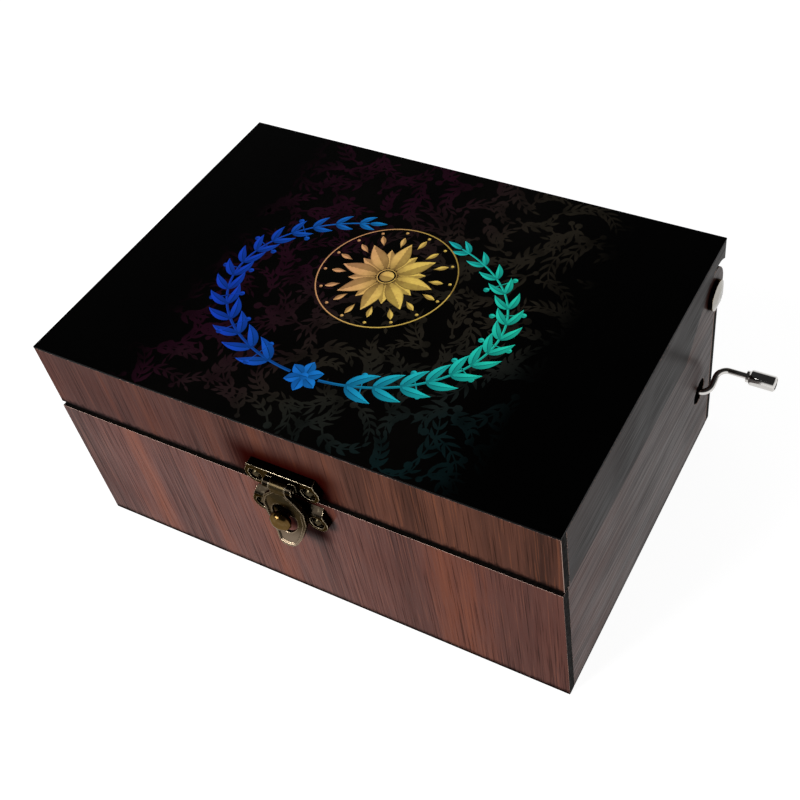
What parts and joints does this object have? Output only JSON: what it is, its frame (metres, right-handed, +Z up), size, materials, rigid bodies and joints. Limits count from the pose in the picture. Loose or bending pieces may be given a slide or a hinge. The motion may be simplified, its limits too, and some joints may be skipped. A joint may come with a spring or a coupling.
{
  "type": "music box",
  "caption": "Hand-cranked music box: flat wooden case with a printed, hinged lid, an antique clasp, a bent wire crank on the right, and a comb and cylinder movement inside",
  "frame": {"origin": "Middle of the flat underside of the base", "axes": "+X to the crank side, +Y to the hinge at the back, +Z up"},
  "size_m": [0.1888, 0.1239, 0.0757],
  "materials": {
    "walnut_board": "3 mm fibreboard with a dark walnut skin under gloss lacquer, laser-burnt edges",
    "plain_board": "3 mm bare fibreboard, matt",
    "lid_print": "printed film, near black with a gold, blue and turquoise ornament, satin",
    "antique_bronze": "antique bronze plating, worn bright along the edges",
    "bright_chrome": "bright nickel or chrome plating",
    "movement_brass": "yellow plated die casting and turned brass",
    "movement_steel": "ground and turned steel"
  },
  "bodies": {
    "base": {"base_front_panel": "walnut_board", "base_back_panel": "walnut_board", "base_left_panel": "walnut_board", "base_right_panel": "walnut_board", "base_bottom_panel": "plain_board", "movement_board": "plain_board", "movement_frame": "movement_brass", "frame_screws": "movement_steel", "steel_comb": "movement_steel", "comb_screws": "movement_steel", "clasp_catch_plate": "antique_bronze", "clasp_knob": "antique_bronze", "catch_plate_nails": "antique_bronze"},
    "lid": {"lid_top_board": "plain_board", "lid_print_sheet": "lid_print", "lid_front_rim": "walnut_board", "lid_back_rim": "walnut_board", "lid_left_rim": "walnut_board", "lid_right_rim": "walnut_board", "hinge_cheek_left": "plain_board", "hinge_cheek_right": "plain_board", "hinge_pin_left": "bright_chrome", "hinge_pin_right": "bright_chrome", "clasp_upper_plate": "antique_bronze", "upper_plate_nails": "antique_bronze", "clasp_hinge_pin": "antique_bronze"},
    "hasp": {"clasp_tongue": "antique_bronze"},
    "crank": {"crank_rod": "bright_chrome", "crank_collar": "bright_chrome", "drive_worm": "movement_steel"},
    "knob": {"crank_knob": "bright_chrome"},
    "cylinder": {"cylinder_sleeve": "movement_brass", "cylinder_pins": "movement_steel", "cylinder_arbor": "movement_steel", "worm_wheel": "movement_brass"}
  },
  "joints": [
    {"name": "lid_hinge", "type": "hinge", "parent": "base", "child": "lid", "pos_m": [0, 0.0508, 0.0606], "axis": [-1, 0, 0], "range_deg": [0, 95]},
    {"name": "hasp_swing", "type": "hinge", "parent": "lid", "child": "hasp", "pos_m": [0, -0.0589, 0.057], "axis": [-1, 0, 0], "range_deg": [0, 150]},
    {"name": "crank_turn", "type": "hinge", "parent": "base", "child": "crank", "pos_m": [0.0857, 0.0438, 0.025], "axis": [1, 0, 0], "continuous": true},
    {"name": "knob_spin", "type": "hinge", "parent": "crank", "child": "knob", "pos_m": [0.09985, 0.05258, 0.02837], "axis": [1, 0, 0], "continuous": true},
    {"name": "cylinder_turn", "type": "hinge", "parent": "base", "child": "cylinder", "pos_m": [0.058, 0.0438, 0.0161], "axis": [0, 1, 0], "continuous": true}
  ],
  "couplings": [
    {"joint": "cylinder_turn", "follows": "crank_turn", "ratio": -0.055556}
  ]
}
